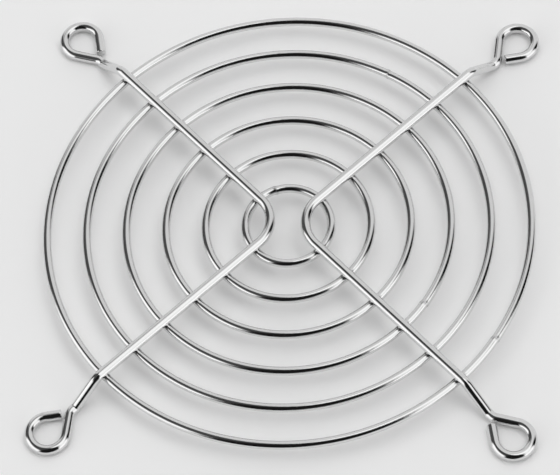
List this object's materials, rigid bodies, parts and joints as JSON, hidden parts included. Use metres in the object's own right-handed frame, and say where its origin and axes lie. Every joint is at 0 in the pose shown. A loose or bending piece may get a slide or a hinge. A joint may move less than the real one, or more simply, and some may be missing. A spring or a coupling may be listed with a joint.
{
  "type": "wire fan guard",
  "caption": "Round finger guard for an axial fan: concentric wire rings welded under two V-shaped support wires that end in screw eyes.",
  "frame": {"origin": "middle of the guard, on the plane of the fan that its four eyes are screwed down to", "axes": "+Z out of the fan towards the guard's front, along the screws; X and Y along the sides of the square hole pattern, with the V supports opening along X"},
  "size_m": [0.0788, 0.0788, 0.0051],
  "materials": {
    "plated_ring_wire": "bright nickel-chrome plated steel wire",
    "plated_support_wire": "bright nickel-chrome plated steel wire, thicker than the rings"
  },
  "bodies": {
    "root": {"outer_ring": "plated_ring_wire", "second_ring": "plated_ring_wire", "third_ring": "plated_ring_wire", "fourth_ring": "plated_ring_wire", "fifth_ring": "plated_ring_wire", "centre_ring": "plated_ring_wire", "left_support": "plated_support_wire", "right_support": "plated_support_wire"}
  },
  "joints": []
}
